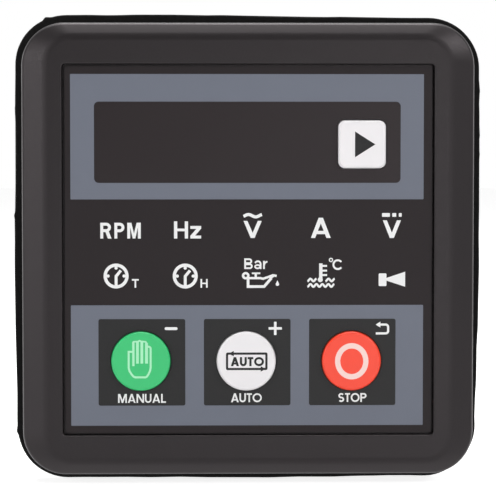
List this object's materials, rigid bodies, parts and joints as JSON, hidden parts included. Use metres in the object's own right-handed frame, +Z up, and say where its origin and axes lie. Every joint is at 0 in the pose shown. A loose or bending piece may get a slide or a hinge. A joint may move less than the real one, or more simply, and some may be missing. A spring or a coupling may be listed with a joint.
{
  "type": "generator set controller",
  "caption": "Square panel-mounted generator controller with a recessed printed face, push keys, a dark display window, lit symbols, a rear housing and pluggable terminals.",
  "frame": {"origin": "middle of the panel seat, the rear face of the gasket that lies on the panel's front", "axes": "+Y points into the panel, away from the face; +X is right seen from the front; +Z is up"},
  "size_m": [0.0812, 0.053, 0.0812],
  "materials": {
    "bezel_plastic": "moulded black plastic, fine spark-eroded grain",
    "film": "printed polycarbonate film, satin",
    "gasket_rubber": "cut black rubber sheet",
    "green_key": "moulded green plastic, satin",
    "white_key": "moulded white plastic, satin",
    "red_key": "moulded red plastic, satin",
    "switch_plastic": "moulded black plastic",
    "circuit_board": "green solder mask",
    "display_plastic": "dark display module",
    "lamp_resin": "cast milky resin",
    "screw_steel": "zinc-plated steel",
    "connector_plastic": "black connector plastic",
    "gold_pin": "gold-flashed brass",
    "relay_plastic": "black relay case",
    "capacitor_sleeve": "sleeved aluminium can",
    "choke_ferrite": "ferrite core with winding",
    "transformer_case": "blue potted case",
    "chip_resin": "moulded chip resin",
    "terminal_green": "green terminal plastic",
    "pin_brass": "tinned brass",
    "cage_steel": "nickel-plated steel",
    "housing_plastic": "moulded black plastic",
    "clip_steel": "zinc-plated sheet steel"
  },
  "bodies": {
    "controller": {"front_bezel": "bezel_plastic", "face_overlay": "film", "panel_gasket": "gasket_rubber", "key_switches": "switch_plastic", "display_board": "circuit_board", "digit_display": "display_plastic", "indicator_lamps": "lamp_resin", "display_board_screws": "screw_steel", "link_header": "connector_plastic", "link_pins": "gold_pin", "link_socket": "connector_plastic", "main_board": "circuit_board", "main_board_screws": "screw_steel", "output_relays": "relay_plastic", "filter_capacitors": "capacitor_sleeve", "power_choke": "choke_ferrite", "current_transformers": "transformer_case", "microcontroller": "chip_resin", "upper_socket": "terminal_green", "upper_pins": "pin_brass", "lower_socket": "terminal_green", "lower_pins": "pin_brass", "rear_housing": "housing_plastic", "left_clip": "clip_steel", "right_clip": "clip_steel"},
    "manual_button": {"manual_key": "green_key", "manual_plunger": "switch_plastic"},
    "auto_button": {"auto_key": "white_key", "auto_plunger": "switch_plastic"},
    "stop_button": {"stop_key": "red_key", "stop_plunger": "switch_plastic"},
    "scroll_button": {"scroll_key": "white_key", "scroll_plunger": "switch_plastic"},
    "upper_terminal": {"upper_plug": "terminal_green", "upper_cages": "cage_steel", "upper_wire_screws": "screw_steel"},
    "lower_terminal": {"lower_plug": "terminal_green", "lower_cages": "cage_steel", "lower_wire_screws": "screw_steel"},
    "left_clamp": {"left_clamp_screw": "screw_steel"},
    "right_clamp": {"right_clamp_screw": "screw_steel"}
  },
  "joints": [
    {"name": "manual_press", "type": "slide", "parent": "controller", "child": "manual_button", "axis": [0, 1, 0], "range_m": [0, 0.0004], "stiffness_N_per_m": 800, "springref_m": -0.001},
    {"name": "auto_press", "type": "slide", "parent": "controller", "child": "auto_button", "axis": [0, 1, 0], "range_m": [0, 0.0004], "stiffness_N_per_m": 800, "springref_m": -0.001},
    {"name": "stop_press", "type": "slide", "parent": "controller", "child": "stop_button", "axis": [0, 1, 0], "range_m": [0, 0.0004], "stiffness_N_per_m": 800, "springref_m": -0.001},
    {"name": "scroll_press", "type": "slide", "parent": "controller", "child": "scroll_button", "axis": [0, 1, 0], "range_m": [0, 0.0004], "stiffness_N_per_m": 800, "springref_m": -0.001},
    {"name": "upper_plug_pull", "type": "slide", "parent": "controller", "child": "upper_terminal", "axis": [0, 1, 0], "range_m": [0, 0.012]},
    {"name": "lower_plug_pull", "type": "slide", "parent": "controller", "child": "lower_terminal", "axis": [0, 1, 0], "range_m": [0, 0.012]},
    {"name": "left_clamp_feed", "type": "slide", "parent": "controller", "child": "left_clamp", "axis": [0, 1, 0], "range_m": [-0.0035, 0.004]},
    {"name": "right_clamp_feed", "type": "slide", "parent": "controller", "child": "right_clamp", "axis": [0, 1, 0], "range_m": [-0.0035, 0.004]}
  ]
}
